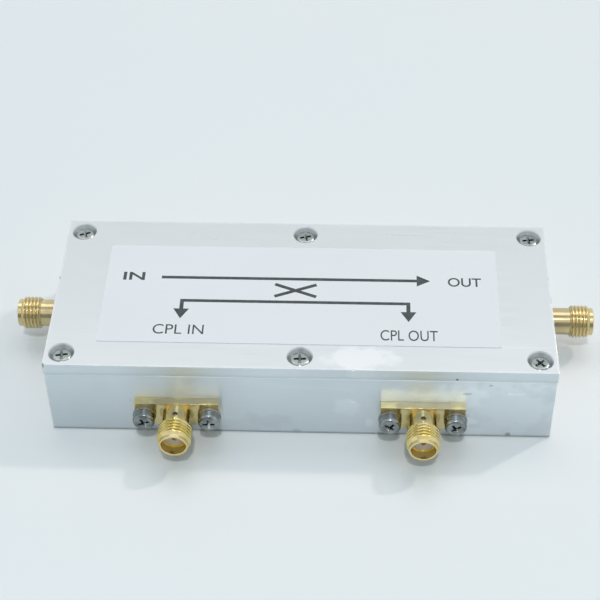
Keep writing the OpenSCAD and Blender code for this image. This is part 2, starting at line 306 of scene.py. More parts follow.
def drawn_grain_group():
    """Fine lines along one direction, as rolling, milling or turning leaves them."""
    inputs = {"Vector": (0, 0, 0), "Lines": (60, 1500, 1500)}
    group, given, result = new_group("drawn_grain", inputs, ("Grain", "Scratch"))
    stretched = vector_node(group, "MULTIPLY", given["Vector"], given["Lines"])
    fine = noise(group, stretched, scale=1.0, detail=4.0)
    sparse = noise(group, stretched, scale=0.23, detail=2.0)
    group.links.new(fine, result["Grain"])
    group.links.new(remap(group, sparse, 0.66, 0.74, 0.0, 1.0), result["Scratch"])
    return group


def smudge_group():
    """Soft patches where hands and cloths have been, and small specks of dirt."""
    group, given, result = new_group("smudges", {"Vector": (0, 0, 0), "Scale": 60.0}, ("Smudge", "Speck"))
    speck_scale = math_node(group, "MULTIPLY", given["Scale"], 22.0)
    broad = noise(group, given["Vector"], given["Scale"], detail=5.0)
    small = noise(group, given["Vector"], speck_scale, detail=2.0)
    group.links.new(remap(group, broad, 0.38, 0.68, 0.0, 1.0), result["Smudge"])
    group.links.new(remap(group, small, 0.73, 0.78, 0.0, 1.0), result["Speck"])
    return group


def edge_group():
    """Closeness to the nearest edge of a block: 1 on the edge, 0 at the given reach from it."""
    inputs = {"Vector": (0, 0, 0), "Middle": (0, 0, 0), "Half": (1, 1, 1), "Reach": 0.4 * mm}
    group, given, result = new_group("edge_wear", inputs, ("Wear",))
    offset = vector_node(group, "SUBTRACT", given["Vector"], given["Middle"])
    room = vector_node(group, "SUBTRACT", given["Half"], vector_node(group, "ABSOLUTE", offset))
    x, y, z = add_node(group, "ShaderNodeSeparateXYZ", {0: room}).outputs
    least = math_node(group, "MINIMUM", math_node(group, "MINIMUM", x, y), z)
    most = math_node(group, "MAXIMUM", math_node(group, "MAXIMUM", x, y), z)
    total = math_node(group, "ADD", math_node(group, "ADD", x, y), z)
    second = math_node(group, "SUBTRACT", math_node(group, "SUBTRACT", total, least), most)
    near = math_node(group, "SUBTRACT", 1.0, math_node(group, "DIVIDE", second, given["Reach"]))
    ragged = noise(group, given["Vector"], scale=900.0)
    worn = math_node(group, "MULTIPLY", near, remap(group, ragged, 0.35, 0.6, 0.35, 1.0))
    group.links.new(remap(group, worn, 0.0, 1.0, 0.0, 1.0), result["Wear"])
    return group


def patch_group():
    """One ragged patch around a point, such as a scuff, a stain, painted light or a painted glint."""
    inputs = {"Vector": (0, 0, 0), "Middle": (0, 0, 0), "Reach": (1, 1, 1)}
    group, given, result = new_group("ragged_patch", inputs, ("Patch",))
    offset = vector_node(group, "SUBTRACT", given["Vector"], given["Middle"])
    share = vector_node(group, "DIVIDE", offset, given["Reach"])
    length = add_node(group, "ShaderNodeVectorMath", {0: share}, operation="LENGTH").outputs["Value"]
    ragged = remap(group, noise(group, given["Vector"], scale=320.0, detail=5.0), 0.3, 0.7, -0.45, 0.45)
    inside = math_node(group, "SUBTRACT", 1.0, math_node(group, "ADD", length, ragged))
    group.links.new(remap(group, inside, 0.0, 0.45, 0.0, 1.0), result["Patch"])
    return group


def side_group():
    """Tells the upright sides of a block, 1, from its flat faces and from what is cut into it, 0."""
    inputs = {"Vector": (0, 0, 0), "Middle": (0, 0, 0), "Half": (1, 1, 1), "Depth": 0.02 * mm}
    group, given, result = new_group("upright_sides", inputs, ("Side",))
    offset = vector_node(group, "SUBTRACT", given["Vector"], given["Middle"])
    past = vector_node(group, "SUBTRACT", vector_node(group, "ABSOLUTE", offset), given["Half"])
    across = add_node(group, "ShaderNodeSeparateXYZ", {0: past}).outputs
    depth = math_node(group, "MULTIPLY", math_node(group, "MAXIMUM", across["X"], across["Y"]), -1.0)
    share = math_node(group, "DIVIDE", depth, given["Depth"])
    group.links.new(remap(group, share, 1.0, 2.0, 1.0, 0.0), result["Side"])
    return group


drawn_grain = drawn_grain_group()
smudges = smudge_group()
edge_wear = edge_group()
ragged_patch = patch_group()
upright_sides = side_group()


def new_material(name, **constants):
    """Starts a material and gives its tree, its shader and its Object coordinates."""
    material = bpy.data.materials.new(name)
    material.use_nodes = True
    tree = material.node_tree
    shader = next(n for n in tree.nodes if n.type == "BSDF_PRINCIPLED")
    for socket, value in constants.items():
        shader.inputs[socket.replace("_", " ")].default_value = value
    return material, tree, shader, add_node(tree, "ShaderNodeTexCoord").outputs["Object"]


def place_group(tree, group, place, **values):
    """Places a node group in a material with its own values, and gives its masks."""
    return add_node(tree, "ShaderNodeGroup", {"Vector": place} | values, node_tree=group).outputs


def feed(shader, socket, value):
    """Links a value that varies over a surface to one of its shader's sockets."""
    shader.id_data.links.new(value, shader.inputs[socket])


def grain_roughness(tree, grain, smoothest, roughest):
    """Roughness that follows a grain."""
    return remap(tree, grain["Grain"], 0.3, 0.7, smoothest, roughest)


def bump(tree, shader, height, strength, distance=0.02 * mm):
    """Lets a height roughen the surface's normal."""
    sockets = {"Height": height, "Strength": strength, "Distance": distance}
    feed(shader, "Normal", add_node(tree, "ShaderNodeBump", sockets).outputs["Normal"])


def add_patches(tree, place, colour, patches):
    """Lays patches over a colour: middle and reach in millimetres, then strength and colour."""
    for middle, reach, share, tone in patches:
        values = {"Middle": Vector(middle) * mm, "Reach": Vector(reach) * mm}
        patch = place_group(tree, ragged_patch, place, **values)["Patch"]
        colour = tint(tree, patch, share, colour, tone)
    return colour


aluminium_colour = (0.625, 0.668, 0.688, 1)
aluminium_dull_and_shade = (0.57, 0.615, 0.64, 1)
aluminium_bright = (0.95, 0.97, 0.98, 1)
aluminium_scuff_and_light = (0.90, 0.975, 1.0, 1)
aluminium_painted_glint = (0.95, 1.0, 1.0, 1)
aluminium_sawn = (0.74, 0.81, 0.84, 1)
aluminium_grime_and_shade = (0.18, 0.215, 0.215, 1)
milled_lines = (70, 1500, 1500)
rubbed_reach = 0.45 * mm
shade_fade_height = 14 * mm
foot_shade_full = 0.25 * mm
foot_shade_end = 0.7 * mm
hole_shade_full = 0.35 * mm
hole_shade_start = 0.1 * mm


def bare_aluminium(name, low, high, drawn, side_depth, foot_shade_and_grime, patches):
    """Milled aluminium with faint lines along its length, hand marks, scuffs, pits and rubbed edges, and
    painted shade low on its sides, along its foot and in its holes.
    """
    material, tree, shader, place = new_material(name, Metallic=1.0, Anisotropic=drawn)
    across_grain = add_node(tree, "ShaderNodeCombineXYZ", {"Y": 0.05, "Z": 1.0}).outputs["Vector"]
    feed(shader, "Tangent", across_grain)
    block = {"Middle": (low + high) / 2, "Half": (high - low) / 2}
    grain = place_group(tree, drawn_grain, place, Lines=milled_lines)
    marks = place_group(tree, smudges, place, Scale=55.0)
    side = place_group(tree, upright_sides, place, Depth=side_depth, **block)["Side"]
    rubbed = place_group(tree, edge_wear, place, Reach=rubbed_reach, **block)["Wear"]
    height = add_node(tree, "ShaderNodeSeparateXYZ", {0: place}).outputs["Z"]
    cast = blend(tree, side, aluminium_colour, aluminium_sawn)
    handled = remap(tree, side, 0.0, 1.0, 0.45, 0.28)
    colour = tint(tree, marks["Smudge"], handled, cast, aluminium_dull_and_shade)
    colour = tint(tree, grain["Scratch"], 0.15, colour, aluminium_bright)
    colour = tint(tree, rubbed, 0.3, colour, aluminium_bright)
    colour = add_patches(tree, place, colour, patches)
    # Painted shade: the sides darken towards the bottom, and a dark line lies along the foot and in the
    # holes sunk into the top.
    lower = remap(tree, height, low.z, low.z + shade_fade_height, foot_shade_and_grime, 0.0)
    colour = tint(tree, lower, side, colour, aluminium_dull_and_shade)
    foot = remap(tree, height, low.z + foot_shade_full, low.z + foot_shade_end, foot_shade_and_grime, 0.0)
    sunk = remap(tree, height, high.z - hole_shade_full, high.z - hole_shade_start, 0.65, 0.0)
    cut_into = math_node(tree, "MULTIPLY", sunk, math_node(tree, "SUBTRACT", 1.0, side))
    colour = blend(tree, math_node(tree, "MAXIMUM", foot, cut_into), colour, aluminium_grime_and_shade)
    feed(shader, "Base Color", colour)
    satin = grain_roughness(tree, grain, smoothest=0.26, roughest=0.34)
    dulled = math_node(tree, "ADD", satin, math_node(tree, "MULTIPLY", marks["Smudge"], 0.05))
    sawn = math_node(tree, "ADD", dulled, math_node(tree, "MULTIPLY", side, 0.14))
    feed(shader, "Roughness", sawn)
    bump(tree, shader, grain["Grain"], strength=0.1)
    return material


# Marks on the front wall: middle and reach in millimetres, then strength and colour
front = housing_low.y / mm
front_marks = (
    # Painted light: a broad pool of light over the right of the wall
    ((37, front, 9), (14, 4, 11), 0.5, aluminium_scuff_and_light),
    # Painted reflection of the right front jack's flange in the wall
    ((23, front, 12.5), (8, 4, 3.5), 0.2, aluminium_scuff_and_light),
    ((31.5, front, 10.4), (4.2, 1, 3.2), 0.7, aluminium_scuff_and_light),
    ((30.2, front, 5.7), (2.4, 1, 1.2), 0.6, aluminium_dull_and_shade),
    ((32.4, front, 4.2), (2.4, 1, 1.4), 0.9, aluminium_scuff_and_light),
    ((31.5, front, 1.5), (4.4, 1, 1.4), 0.9, aluminium_scuff_and_light),
    ((9.0, front, 8.3), (2.8, 1, 2.9), 0.4, aluminium_scuff_and_light),
    ((10.0, front, 9.2), (0.9, 1, 0.3), 0.9, aluminium_scuff_and_light),
    ((13.0, front, 3.4), (0.9, 1, 1.6), 0.6, aluminium_scuff_and_light),
    ((-6.0, front, 3.2), (4.8, 1, 2.6), 0.4, aluminium_dull_and_shade),
    ((-0.8, front, 0.7), (1.0, 1, 0.6), 0.4, aluminium_grime_and_shade),
    ((35.3, front, 14.4), (0.55, 1, 0.28), 0.5, aluminium_grime_and_shade),
    ((30.9, front, 12.05), (0.9, 1, 0.34), 0.34, aluminium_grime_and_shade),
    # Painted glints on a scratch and on a knock, and a painted streak of light beside the knock
    ((30.1, front, 12.35), (0.4, 1, 0.22), 0.8, aluminium_painted_glint),
    ((39.05, front, 12.1), (0.5, 1, 0.5), 1.0, aluminium_painted_glint),
    ((40.6, front, 12.1), (1.8, 1, 0.16), 0.9, aluminium_painted_glint),
    ((-31.8, front, 8.6), (0.35, 1, 0.35), 0.15, aluminium_grime_and_shade),
    ((39.4, front, 0.6), (0.6, 1, 0.75), 0.85, aluminium_grime_and_shade),
)
housing_finish = bare_aluminium(
    "housing_aluminium", housing_low, housing_high, drawn=0.8, side_depth=housing_edge, foot_shade_and_grime=0.6,
    patches=front_marks,
)
fit(housing, "housing", housing_finish)


# Circuit board
# Microwave laminate, white fibre cloth in a cream resin, cut to the pocket and clamped to its
# floor. The two lines on it are etched copper: the main line and the coupled line beside it.
def dress_node(node, material):
    """Gives a solid that is right as it is its finish."""
    paint(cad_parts[node], material)


resin_cream = (0.66, 0.58, 0.36, 1)
fibre_white = (0.76, 0.70, 0.52, 1)
copper_clean = (0.86, 0.47, 0.29, 1)
copper_tarnish = (0.62, 0.31, 0.19, 1)

laminate, tree, shader, place = new_material("board_laminate", Roughness=0.55)
fibre = {"Vector": place, "Scale": 320.0}
warp = add_node(tree, "ShaderNodeTexWave", fibre, bands_direction="X").outputs["Fac"]
weft = add_node(tree, "ShaderNodeTexWave", fibre, bands_direction="Y").outputs["Fac"]
weave = math_node(tree, "MULTIPLY", warp, weft)
feed(shader, "Base Color", blend(tree, weave, resin_cream, fibre_white))
bump(tree, shader, weave, strength=0.2)
dress_node("circuit_board", laminate)

copper, tree, shader, place = new_material("line_copper", Metallic=1.0)
grain = place_group(tree, drawn_grain, place, Lines=(300, 1800, 1800))
marks = place_group(tree, smudges, place, Scale=140.0)
feed(shader, "Base Color", blend(tree, marks["Smudge"], copper_clean, copper_tarnish))
feed(shader, "Roughness", grain_roughness(tree, grain, smoothest=0.2, roughest=0.38))
dress_node("main_line", copper)
dress_node("coupled_line", copper)


# Board screws
# Six steel pan-head screws with a cross recess and a rolled thread. They clamp the board to the
# floor of the pocket.
screw_radius = 1.09 * mm
screw_pitch = 25.4 / 56 * mm
screw_thread_depth = 0.25 * mm
screw_tip = 0.3 * mm
screw_tip_radius = 0.6 * screw_radius
screw_rings_per_turn = 8
pan_head_height = 1.75 * mm
pan_head_round = 0.6 * mm
pan_head_round_end = math.radians(82)
pan_head_crown = 0.35 * pan_head_radius
pan_head_break = 0.08 * mm
recess_width = 2.3 * mm
recess_wing = 0.5 * mm
recess_core = 0.85 * recess_wing
recess_depth = 0.95 * mm
recess_floor = (0.35, 0.65, 1)


def turn(name, outline, segments, capped):
    """Turns an outline of radius and height round the Z axis, ring after ring, as a lathe does."""
    radius, height = outline[0]
    deselect()
    bpy.ops.mesh.primitive_circle_add(vertices=segments, radius=radius, location=(0, 0, height))
    piece = bpy.context.object
    piece.name = name
    bpy.ops.object.transform_apply()
    bpy.ops.object.mode_set(mode="EDIT")
    bpy.ops.mesh.select_all(action="SELECT")
    for next_radius, next_height in outline[1:]:
        bpy.ops.mesh.extrude_edges_move(TRANSFORM_OT_translate={"value": (0, 0, next_height - height)})
        growth = next_radius / radius
        bpy.ops.transform.resize(value=(growth, growth, 1), center_override=(0, 0, next_height))
        radius, height = next_radius, next_height
    bpy.ops.mesh.select_all(action="SELECT")
    bpy.ops.mesh.remove_doubles(threshold=1e-7)
    if capped:
        bpy.ops.mesh.fill_holes(sides=0)
    bpy.ops.mesh.normals_make_consistent(inside=False)
    bpy.ops.object.mode_set(mode="OBJECT")
    return piece


def ramp(start, end, steps):
    """Evenly spaced values from start to end."""
    return [start + (end - start) * step / steps for step in range(steps + 1)]


def roll_thread(piece, crest, depth, pitch, start, end, crest_share=0.125, root_start=0.9):
    """Presses a helical groove into the rings that lie between two heights."""
    for vertex in piece.data.vertices:
        x, y, z = vertex.co
        radius = math.hypot(x, y)
        if radius < crest - depth or not start < z < end:
            continue
        phase = (z / pitch - math.atan2(y, x) / math.tau) % 1
        share = min(1, max(0, (abs(2 * phase - 1) - crest_share) / (root_start - crest_share)))
        pressed = min(radius, crest - depth * share) / radius
        vertex.co.x *= pressed
        vertex.co.y *= pressed


def about_z(degrees):
    """A turn about the Z axis."""
    return Matrix.Rotation(math.radians(degrees), 4, "Z")


def cross_tool(top):
    """The punch that leaves a cross recess: two tapered wings through a tapered core."""
    bottom = top - recess_depth
    wing = (recess_width / 2, recess_wing / 2)
    core = (recess_core, recess_core)
    tool = None
    for turned, (half_width, half_wing) in ((0, wing), (90, wing), (45, core)):
        part = add_block("punch", (-half_width, -half_wing, bottom), (half_width, half_wing, top))
        pick(part, "FACE", lambda middle, normal: normal.z < -0.9)
        bpy.ops.transform.resize(value=recess_floor, center_override=(0, 0, bottom))
        pick(part, "FACE", lambda middle, normal: normal.z > 0.9)
        bpy.ops.mesh.extrude_region_move(TRANSFORM_OT_translate={"value": (0, 0, past_face)})
        bpy.ops.object.mode_set(mode="OBJECT")
        part.data.transform(about_z(turned))
        if tool is None:
            tool = part
        else:
            combine(tool, part, "UNION")
    return tool


def shank_outline(reach, top):
    """Outline of a shank from its tip to just below its head, with rings for its thread."""
    rings = round((reach + top - 2 * screw_tip) / screw_pitch * screw_rings_per_turn)
    heights = ramp(-reach + screw_tip, top - screw_tip, rings)
    return [(screw_tip_radius, -reach)] + [(screw_radius, height) for height in heights]


def finish_screw(screw, reach, shank_top, head_top):
    """Rolls the thread of a turned screw and punches its recess."""
    roll_thread(screw, screw_radius, screw_thread_depth, screw_pitch, -reach, shank_top - screw_tip / 2)
    combine(screw, cross_tool(head_top), "DIFFERENCE")
    smooth(screw)
    return screw


def pan_screw(name, reach):
    """Pan-head screw seated at z = 0, with its threaded shank below."""
    underside = [(screw_radius, 0), (pan_head_radius - pan_head_break, 0), (pan_head_radius, pan_head_break)]
    middle = pan_head_radius - pan_head_round
    base = pan_head_height - pan_head_round
    edge = [
        (middle + pan_head_round * math.cos(angle), base + pan_head_round * math.sin(angle))
        for angle in ramp(0, pan_head_round_end, steps=8)
    ]
    crown = [(pan_head_crown, pan_head_height)]
    screw = turn(name, shank_outline(reach, 0) + underside + edge + crown, segments=32, capped=True)
    return finish_screw(screw, reach, 0, pan_head_height)


def copy_to(piece, name, matrix):
    """A copy of a modelled piece with its own mesh, set in place."""
    copy = piece.copy()
    copy.data = piece.data.copy()
    copy.name = name
    copy.data.transform(matrix)
    bpy.context.scene.collection.objects.link(copy)
    return copy


def fit_fasteners(model, node, material, matrices):
    """Fits a copy of a modelled fastener at each of its places, and removes the model."""
    for number, matrix in enumerate(matrices, 1):
        fit(copy_to(model, f"{model.name}_{number}", matrix), node, material)
    bpy.data.objects.remove(model)


def screw_steel(name, clean, oxidised, smoothest, roughest):
    """Plated steel with a fine even grain, darker where it has oxidised."""
    material, tree, shader, place = new_material(name, Metallic=1.0)
    grain = place_group(tree, drawn_grain, place, Lines=(1500, 1500, 1500))
    marks = place_group(tree, smudges, place, Scale=650.0)
    feed(shader, "Base Color", blend(tree, marks["Smudge"], clean, oxidised))
    feed(shader, "Roughness", grain_roughness(tree, grain, smoothest, roughest))
    bump(tree, shader, grain["Grain"], strength=0.06)
    return material


steel_clean = (0.33, 0.355, 0.355, 1)
steel_oxidised = (0.165, 0.185, 0.185, 1)
steel = screw_steel("screw_steel", steel_clean, steel_oxidised, smoothest=0.16, roughest=0.3)

board_screw = pan_screw("board_screw", board_high.z - board_low.z + board_screw_reach)
board_screw_turn = 67
fit_fasteners(board_screw, "board_screws", steel, [
    Matrix.Translation(place) @ about_z(board_screw_turn * number)
    for number, place in enumerate(board_screw_places, 1)
])


# Jack bodies
# Turned from brass and gold plated. The front pair has a two-hole flange that lies on the wall;
# the end pair has a shank that screws into the wall up to a shoulder with two wrench flats.
thread_radius = 3.175 * mm
thread_pitch = 25.4 / 36 * mm
thread_depth = 0.38 * thread_pitch
thread_crest = 0.42
thread_rings_per_turn = 14
thread_start = 4.9 * mm
thread_end = 8.75 * mm
thread_chamfer = 0.35 * mm
neck_radius = 2.65 * mm
nose_radius = 2.7 * mm
mouth_radius = 2.3 * mm
jack_length = housing_low.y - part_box("coupled_in_jack_body")[0].y
mouth_depth = 2 * mm
rim_break = 0.1 * mm
flange_length = 15.88 * mm
flange_height = 5.72 * mm
flange_thickness = 1.65 * mm
flange_edge = 0.06 * mm
flange_hole_radius = 1.3 * mm
locking_hole_radius = 0.5 * mm
locking_hole_distance = 3.8 * mm
shoulder_radius = 3.8 * mm
shoulder_thickness = 1.2 * mm
shoulder_flats = 7 * mm
barrel_segments = 72


def barrel_outline():
    """Outside of a barrel from its first thread to its rim, then down its mouth to the bore."""
    rings = round((thread_end - thread_start) / thread_pitch * thread_rings_per_turn)
    land = []
    for distance in ramp(thread_start, thread_end, rings):
        first_chamfer = thread_radius - thread_chamfer + distance - thread_start
        last_chamfer = nose_radius + thread_end - distance
        land.append((min(thread_radius, first_chamfer, last_chamfer), distance))
    reference_plane = jack_length - mouth_depth
    return land + [
        (nose_radius, jack_length - rim_break), (nose_radius - rim_break, jack_length),
        (mouth_radius + rim_break, jack_length), (mouth_radius, jack_length - rim_break),
        (mouth_radius, reference_plane), (jack_bore_radius, reference_plane),
    ]


def roll_coupling_thread(barrel):
    """Gives a barrel the thread that takes a plug's coupling nut."""
    start = thread_start - rim_break
    roll_thread(barrel, thread_radius, thread_depth, thread_pitch, start, thread_end, thread_crest)


def flanged_jack():
    """Front jack with its axis on Z and its flange's back at z = 0."""
    barrel = turn(
        "flanged_jack",
        [(neck_radius, 0), (neck_radius, thread_start)] + barrel_outline()
        + [(jack_bore_radius, 0), (neck_radius, 0)],
        barrel_segments, capped=False,
    )
    roll_coupling_thread(barrel)
    low = (-flange_length / 2, -flange_height / 2, 0)
    high = (flange_length / 2, flange_height / 2, flange_thickness)
    flange = add_block("flange", low, high)
    bevel(flange, lambda middle, direction: True, flange_edge, segments=3)
    for x in (-flange_spacing / 2, 0, flange_spacing / 2):
        radius = flange_hole_radius if x else (neck_radius + jack_bore_radius) / 2
        drill(flange, radius, (x, 0, -past_face), (x, 0, flange_thickness + past_face))
    combine(barrel, flange, "UNION")
    drill(
        barrel, locking_hole_radius,
        (0, jack_bore_radius / 2, locking_hole_distance), (0, thread_radius, locking_hole_distance),
    )
    smooth(barrel)
    return barrel


def screw_in_jack():
    """End jack with its axis on Z, its shoulder's back at z = 0 and its shank below."""
    top = shoulder_thickness
    barrel = turn(
        "screw_in_jack",
        [
            (jack_bore_radius, -wall), (thread_radius, -wall), (thread_radius, 0), (shoulder_radius, 0),
            (shoulder_radius, top - rim_break), (shoulder_radius - rim_break, top),
            (neck_radius, top), (neck_radius, thread_start),
        ] + barrel_outline() + [(jack_bore_radius, -wall)],
        barrel_segments, capped=False,
    )
    roll_coupling_thread(barrel)
    for side in (-1, 1):
        flat = side * shoulder_flats / 2
        out = side * 2 * shoulder_radius
        low = (min(flat, out), -2 * shoulder_radius, -past_face)
        high = (max(flat, out), 2 * shoulder_radius, top + past_face)
        combine(barrel, add_block("flat_cutter", low, high), "DIFFERENCE")
    smooth(barrel)
    return barrel


def out_of_wall(port, heading):
    """Sets a jack that was turned round Z on its port, heading out of the wall."""
    lay_down = Matrix.Rotation(math.radians(90), 4, "X")
    return Matrix.Translation(port) @ about_z(heading) @ lay_down


def gold_plating(name, clean, dull, patches):
    """Gold plate with a turned grain, duller where it has been handled, with the given patches laid over it:
    wear, painted shade and a painted highlight.
    """
    material, tree, shader, place = new_material(name, Metallic=1.0)
    grain = place_group(tree, drawn_grain, place, Lines=(900, 900, 900))
    marks = place_group(tree, smudges, place, Scale=220.0)
    plated = add_patches(tree, place, blend(tree, marks["Smudge"], clean, dull), patches)
    feed(shader, "Base Color", plated)
    feed(shader, "Roughness", grain_roughness(tree, grain, smoothest=0.14, roughest=0.24))
    bump(tree, shader, grain["Grain"], strength=0.03)
    return material


gold_clean = (0.74, 0.615, 0.32, 1)
gold_dull = (0.69, 0.565, 0.255, 1)
gold_rubbed_and_highlight = (0.92, 0.84, 0.56, 1)
gold_tarnish_and_shade = (0.44, 0.37, 0.23, 1)
gold_thread_shade = (0.61, 0.49, 0.12, 1)
gold_corner_shade = (0.32, 0.25, 0.09, 1)
end_gold_clean = (0.66, 0.55, 0.29, 1)
end_gold_dull = (0.58, 0.475, 0.27, 1)
end_neck_share = 1.05

# Marks on the front jacks: middle and reach in millimetres, then strength and colour
front_patches = []
for port in front_ports.values():
    axis = port / mm
    flange_top = axis + Vector((0, -0.8, flange_height / 2 / mm))
    neck_middle = axis - inwards * (flange_thickness + thread_start) / 2 / mm
    thread_middle = axis - inwards * (thread_start + thread_end) / 2 / mm
    nose_top = axis + Vector((0, 0.5 - jack_length / mm, nose_radius / mm))
    front_patches += [
        # Painted shade on the flange top, the neck and the thread, and wear with a painted highlight on the
        # nose top
        (flange_top, (11, 1.4, 0.6), 0.95, gold_tarnish_and_shade),
        (neck_middle, (3.4, 1.2, 3.4), 0.5, gold_tarnish_and_shade),
        (thread_middle, (5, 2.6, 5), 0.8, gold_thread_shade),
        (nose_top, (2.4, 0.8, 1.5), 0.2, gold_rubbed_and_highlight),
    ]
    # Painted shade in the corners where the neck meets the flange
    for side in (-1, 1):
        corner = axis + Vector((side * 2.75, -flange_thickness / mm, 0.2))
        front_patches.append((corner, (0.5, 0.5, 1.4), 0.6, gold_corner_shade))
front_gold = gold_plating("front_gold_plating", gold_clean, gold_dull, front_patches)

# The end jacks are painted darker round their necks, a little further out than their ports
end_gold = gold_plating("end_gold_plating", end_gold_clean, end_gold_dull, [
    (port * end_neck_share / mm, (3.6, 5, 5), 0.5, gold_tarnish_and_shade) for port in end_ports.values()
])

flanged = flanged_jack()
for name, port in front_ports.items():
    copy = copy_to(flanged, f"{name}_flanged_jack", out_of_wall(port, 0))
    fit(copy, f"{name}_jack_body", front_gold)
bpy.data.objects.remove(flanged)

screw_in = screw_in_jack()
for name, port in end_ports.items():
    copy = copy_to(screw_in, f"{name}_screw_in_jack", out_of_wall(port, math.copysign(90, port.x)))
    fit(copy, f"{name}_jack_body", end_gold)
bpy.data.objects.remove(screw_in)


# Jack insulators and contacts
# A white fluoropolymer rod fills each bore up to the mouth's floor. The gold-plated contact
# through it has a slotted spring socket in front and a flat tab on the copper line behind.
insulator_clean = (0.76, 0.65, 0.58, 1)
insulator_handled = (0.68, 0.56, 0.49, 1)
insulator, tree, shader, place = new_material("jack_insulator", Roughness=0.45)
marks = place_group(tree, smudges, place, Scale=500.0)
waxy = blend(tree, marks["Smudge"], insulator_clean, insulator_handled)
feed(shader, "Base Color", waxy)
bump(tree, shader, marks["Smudge"], strength=0.05)
for name in ("input", "output", "coupled_in", "coupled_out"):
    dress_node(f"{name}_jack_insulator", insulator)
    dress_node(f"{name}_jack_contact", end_gold)


# Lock washers
# Split spring washers of hardened steel, one under each flange screw. The screws have pressed
# them flat, so only the slanting split tells them from plain ones.
washer_radius = 2.2 * mm
washer_hole_radius = 1.21 * mm
washer_thickness = 0.65 * mm
washer_edge = 0.08 * mm
washer_split = 0.4 * mm
washer_split_slant = 25


def lock_washer():
    """Washer with its axis on Z and its back at z = 0, sawn through on one side."""
    inner = washer_hole_radius
    outer = washer_radius
    edge = washer_edge
    top = washer_thickness
    outline = [
        (inner + edge, 0), (outer - edge, 0), (outer, edge), (outer, top - edge), (outer - edge, top),
        (inner + edge, top), (inner, top - edge), (inner, edge), (inner + edge, 0),
    ]
    washer = turn("lock_washer", outline, segments=48, capped=False)
    low = (0, -washer_split / 2, -2 * washer_thickness)
    high = (2 * washer_radius, washer_split / 2, 2 * washer_thickness)
    saw = add_block("saw", low, high)
    saw.data.transform(Matrix.Rotation(math.radians(washer_split_slant), 4, "X"))
    saw.data.transform(Matrix.Translation((0, 0, washer_thickness / 2)))
    combine(washer, saw, "DIFFERENCE")
    smooth(washer)
    return washer


fit_fasteners(lock_washer(), "lock_washers", steel, [
    out_of_wall(place - inwards * flange_thickness, 0) for place in flange_screw_places
])


# Flange screws
# Four steel pan-head screws with a cross recess hold the two flanges to the front wall. Each
# came tight at a turn of its own, so no two crosses point the same way.
flange_screw = pan_screw("flange_screw", flange_thickness + washer_thickness + flange_screw_reach)
flange_screw_turns = (25, 3, 55, 35)
fit_fasteners(flange_screw, "flange_screws", steel, [
    out_of_wall(place - inwards * (flange_thickness + washer_thickness), 0) @ about_z(turned)
    for place, turned in zip(flange_screw_places, flange_screw_turns)
])


# Lid
# A flat plate of the same bare aluminium, with six countersunk holes. Its edges are sharper than
# the housing's and have picked up a few small nicks.
lid_low, lid_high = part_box("lid")
lid_edge = 0.05 * mm
head_sink = 0.65 * mm
countersink_slope = math.tan(math.radians(41))
lid_hole_radius = 1.21 * mm
head_clearance = 0.03 * mm
lid_side_depth = 0.02 * mm

lid = add_block("lid_plate", lid_low, lid_high)
bevel(lid, on_box_edge(lid_low, lid_high), lid_edge, segments=2)
cone_top = lid_high.z + past_face
cone_radius = lid_head_radius + head_clearance + (head_sink + past_face) * countersink_slope
cone_depth = (cone_radius - screw_radius) / countersink_slope
cone_outline = [(screw_radius, cone_top - cone_depth), (cone_radius, cone_top)]
for place in lid_screw_places:
    drill(lid, lid_hole_radius, place + upwards * (lid_low.z - past_face), place + upwards * lid_high.z)
    cone = turn("countersink", cone_outline, segments=64, capped=True)
    cone.data.transform(Matrix.Translation(place))
    combine(lid, cone, "DIFFERENCE")

# Nicks: place in millimetres, then radius and depth, and the way that the blow came
for place, radius, depth, way in (
    ((-47.5, 3.1, 18), 0.42, 0.22, (0.7, 0, -0.7)), ((47.5, 4.9, 18), 0.36, 0.17, (-0.7, 0, -0.7)),
    ((47.5, -2.2, 18), 0.36, 0.17, (-0.7, 0, -0.7)), ((29.0, -19.8, 15.9), 0.24, 0.1, (0, 1, 0)),
    ((9.9, -19.8, 18), 0.35, 0.15, (0, 0.7, -0.7)), ((-47.4, -19.7, 17.8), 0.35, 0.15, (0.58, 0.58, -0.58)),
):
    dent(lid, Vector(place) * mm, radius * mm, depth * mm, Vector(way).normalized())
smooth(lid, angle=20)

# Marks on the lid: middle and reach in millimetres, then strength and colour
lid_marks = (
    ((11, -17, 18), (7, 4, 4), 0.25, aluminium_bright),
    ((-47.5, 3.1, 18), (0.5, 0.55, 0.5), 0.8, aluminium_grime_and_shade),
    ((47.5, 4.9, 18), (0.4, 0.5, 0.4), 0.12, aluminium_grime_and_shade),
    ((47.5, -1.0, 18), (0.25, 1.2, 0.4), 0.3, aluminium_grime_and_shade),
    ((47.5, -2.2, 18), (0.4, 0.5, 0.4), 0.8, aluminium_bright),
    ((29.0, -19.8, 15.9), (0.32, 0.4, 0.32), 0.9, aluminium_grime_and_shade),
    ((-47.4, -19.7, 17.8), (0.5, 0.5, 0.6), 0.65, aluminium_grime_and_shade),
)
lid_finish = bare_aluminium(
    "lid_aluminium", lid_low, lid_high, drawn=0.0, side_depth=lid_side_depth, foot_shade_and_grime=0.13,
    patches=lid_marks,
)
fit(lid, "lid", lid_finish)


# Lid screws
# Six countersunk steel screws with a cross recess, sunk just below the face of the lid. Their
# heads are a little domed, and the rim is rolled over.
# Rim and dome of a head: inset from its radius and depth below its top, in millimetres
head_rim = ((0.1, 0.25), (0.05, 0.22), (0.12, 0.15), (0.36, 0.035), (0.6, 0.005))
head_flat = 0.4 * lid_head_radius


